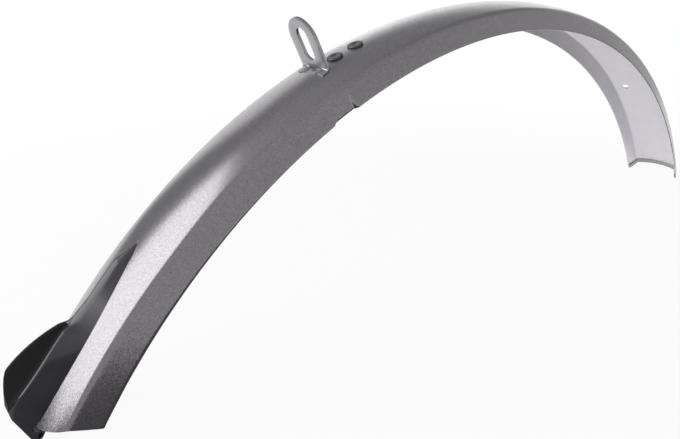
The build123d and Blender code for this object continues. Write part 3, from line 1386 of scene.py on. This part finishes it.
@dataclass(frozen=True)
class Softbox:
    """A studio softbox: a rectangular lamp that looks at a point. Metres and watts."""

    name: str
    place: Place
    aim: Place
    width: float
    height: float
    power: float

    def build(self) -> None:
        """Hang the softbox."""
        lamp = bpy.data.lights.new(self.name, "AREA")
        lamp.shape, lamp.size, lamp.size_y, lamp.energy = "RECTANGLE", self.width, self.height, self.power
        made = new_object(self.name, lamp)
        made.location = self.place
        made.rotation_euler = (Vector(self.aim) - Vector(self.place)).to_track_quat("-Z", "Y").to_euler()


@dataclass(frozen=True)
class Shade:
    """A soft step of brightness along one axis of the direction from the object."""

    axis: str
    source: Spot
    target: Spot


@dataclass
class Studio:
    """White floor and backdrop, lamps and the camera. Metres and watts."""

    white_wall: tuple[Shade, ...] = (
        Shade("Z", (0.42, 0.68), (0.77, 0.0)),
        Shade("X", (-0.08, 0.12), (0.0, 1.0)),
        Shade("Y", (-0.3, 0.3), (0.7, 1.0)),
        Shade("Y", (0.68, 0.92), (1.0, 1.28)),
    )
    front_wall: tuple[Shade, ...] = (Shade("Y", (-0.5, -0.1), (0.55, 0.0)), Shade("X", (-0.1, 0.4), (1.0, 0.8)))
    ceiling: tuple[Shade, ...] = (Shade("Y", (0.55, 0.85), (0.37, 0.2035)), Shade("X", (-0.2, 0.5), (1.3, 0.9)))
    floor_half: float = 4.0
    floor_grey: float = 0.9
    floor_white: Spot = (0.92, 1.0)
    floor_fade: Spot = (0.2, 0.7)
    # The dark card is painted shade on the floor, seen only in reflections
    card_colour: str = "484446"
    card_roughness: float = 0.9
    card_lift: float = 0.001
    card_edge: tuple[Spot, ...] = (
        (-0.9, -0.65),
        (0.7, -0.65),
        (0.7, -0.045),
        (-0.25, -0.045),
        (-0.25, 0.08),
        (-0.42, 0.22),
        (-0.55, 0.9),
        (-0.9, 0.9),
    )
    card_stand: tuple[Place, ...] = ((-0.79, 0.3, 0.0), (-0.93, 0.0, 0.0), (-0.93, 0.0, 0.15), (-0.82, 0.27, 0.13))
    eye: Place = (-0.30723, -0.2350, 0.16853)
    right: Place = (0.7129, -0.7010, 0.0182)
    up: Place = (0.2896, 0.3180, 0.9027)
    sensor: float = 36.0
    lens: float = 29.576
    shift: Spot = (-0.10966, 0.05997)
    clip_start: float = 0.01
    lamps: tuple[Softbox, ...] = (
        Softbox("left_softbox", (-1.365, 0.682, 0.784), (-0.23, 0.0, 0.08), 1.6, 1.5, 16.0),
        Softbox("right_softbox", (1.3, 1.2, 0.5), (0.2, 0.0, 0.15), 1.2, 0.7, 1.2),
    )

    def sky(self) -> None:
        """Make the world white to the camera; it lights like a white wall on the right and a grey room."""
        world = bpy.data.worlds.new("white_studio")
        bpy.context.scene.world = world
        world.use_nodes = True
        tree = world.node_tree
        facing = add_node(tree, "ShaderNodeTexCoord").outputs["Generated"]
        way = add_node(tree, "ShaderNodeSeparateXYZ", {0: facing}).outputs
        levels = []
        for part in (self.white_wall, self.front_wall, self.ceiling):
            steps = [mapped(tree, way[shade.axis], shade.source, shade.target) for shade in part]
            levels.append(reduce(lambda first, second: number(tree, "MULTIPLY", first, second), steps))
        level = reduce(lambda first, second: number(tree, "MAXIMUM", first, second), levels)
        seen = add_node(tree, "ShaderNodeLightPath").outputs["Is Camera Ray"]
        strength = mapped(tree, seen, (0.0, 1.0), (level, 1.0), Step.STRAIGHT)
        fill(tree, tree.nodes["Background"], {"Color": WHITE, "Strength": strength})

    def floor(self) -> None:
        """Lay the white floor, which keeps a soft shadow near the object and fades into the backdrop."""
        reach = self.floor_half
        mesh = bpy.data.meshes.new("floor")
        corners = [(-reach, -reach, 0), (reach, -reach, 0), (reach, reach, 0), (-reach, reach, 0)]
        mesh.from_pydata(corners, [], [(0, 1, 2, 3)])
        paper = Coating("white_paper")
        tree, grey = paper.tree, self.floor_grey
        matt = add_node(tree, "ShaderNodeBsdfDiffuse", {"Color": (grey, grey, grey, 1.0)}).outputs[0]
        glow = add_node(tree, "ShaderNodeEmission", {"Color": WHITE, "Strength": 1.0}).outputs[0]
        # White to the camera and in reflections; its light on the object is that of plain paper
        rays = add_node(tree, "ShaderNodeLightPath").outputs
        direct = number(tree, "MAXIMUM", rays["Is Camera Ray"], rays["Is Glossy Ray"])
        white = number(tree, "MAXIMUM", direct, rays["Is Transmission Ray"])
        away = add_node(tree, "ShaderNodeVectorMath", {0: paper.place}, operation="LENGTH").outputs["Value"]
        share = number(tree, "MULTIPLY", white, mapped(tree, away, self.floor_fade, self.floor_white))
        mixed = add_node(tree, "ShaderNodeMixShader", {0: share, 1: matt, 2: glow}).outputs[0]
        fill(tree, tree.nodes["Material Output"], {"Surface": mixed})
        tree.nodes.remove(tree.nodes["Principled BSDF"])
        mesh.materials.append(paper.made)
        new_object("floor", mesh)

    def card(self) -> None:
        """Set up dark cards before the guard and round the flap's end, which only reflections show: painted shade on
        the floor, mirrored in the blade's wall and the flap.
        """
        mesh = bpy.data.meshes.new("painted_shade_card")
        flat = [(*corner, self.card_lift) for corner in self.card_edge]
        corners = flat + list(self.card_stand)
        mesh.from_pydata(corners, [], [range(len(flat)), range(len(flat), len(corners))])
        paint = {"Base Color": linear(self.card_colour), "Roughness": self.card_roughness}
        mesh.materials.append(Coating("painted_shade_card_black").finish(paint))
        made = new_object("painted_shade_card", mesh)
        made.visible_camera = made.visible_diffuse = made.visible_shadow = False

    def camera(self) -> None:
        """Set the camera at the photograph's viewing angle."""
        data = bpy.data.cameras.new("camera")
        data.sensor_width, data.lens, data.clip_start = self.sensor, self.lens, self.clip_start
        data.shift_x, data.shift_y = self.shift
        made = new_object("camera", data)
        across = Vector(self.right).normalized()
        back = across.cross(Vector(self.up)).normalized()
        turn = Matrix((across, back.cross(across), back)).transposed().to_4x4()
        made.matrix_world = Matrix.Translation(self.eye) @ turn
        bpy.context.scene.camera = made

    def build(self) -> None:
        """Set up everything round the object."""
        bpy.context.scene.view_settings.view_transform = "Standard"
        self.sky()
        self.floor()
        self.card()
        for lamp in self.lamps:
            lamp.build()
        self.camera()


def main() -> None:
    """Build the studio and the mudguard."""
    logging.basicConfig(level=logging.INFO, format="%(name)s: %(message)s")
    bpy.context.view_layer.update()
    arch, channel = Arch(), Channel()
    Studio().build()
    BladeShell(arch, channel).build(SilverLacquer().material(), InnerLacquer().material())
    ForkBracket(arch, channel).build(RolledSteel("rolled_steel_strip", "b4b4b7", "9c9ca0", 0.26).material())
    RivetPair(arch).build(RolledSteel("rivet_steel", "77777a", "5b5b5e", 0.38).material())
    satin = MouldedPlastic("moulded_black_plastic", "3a393f", "414046", 0.29, 0.85)
    # Darker than the walls: painted shade inside the scoop
    matt = MouldedPlastic("black_plastic_painted_dish_shade", "141316", "1a191c", 0.6, 0.08)
    MudFlap(arch, channel).build(satin.material(), matt.material())


if __name__ == "__main__":
    main()
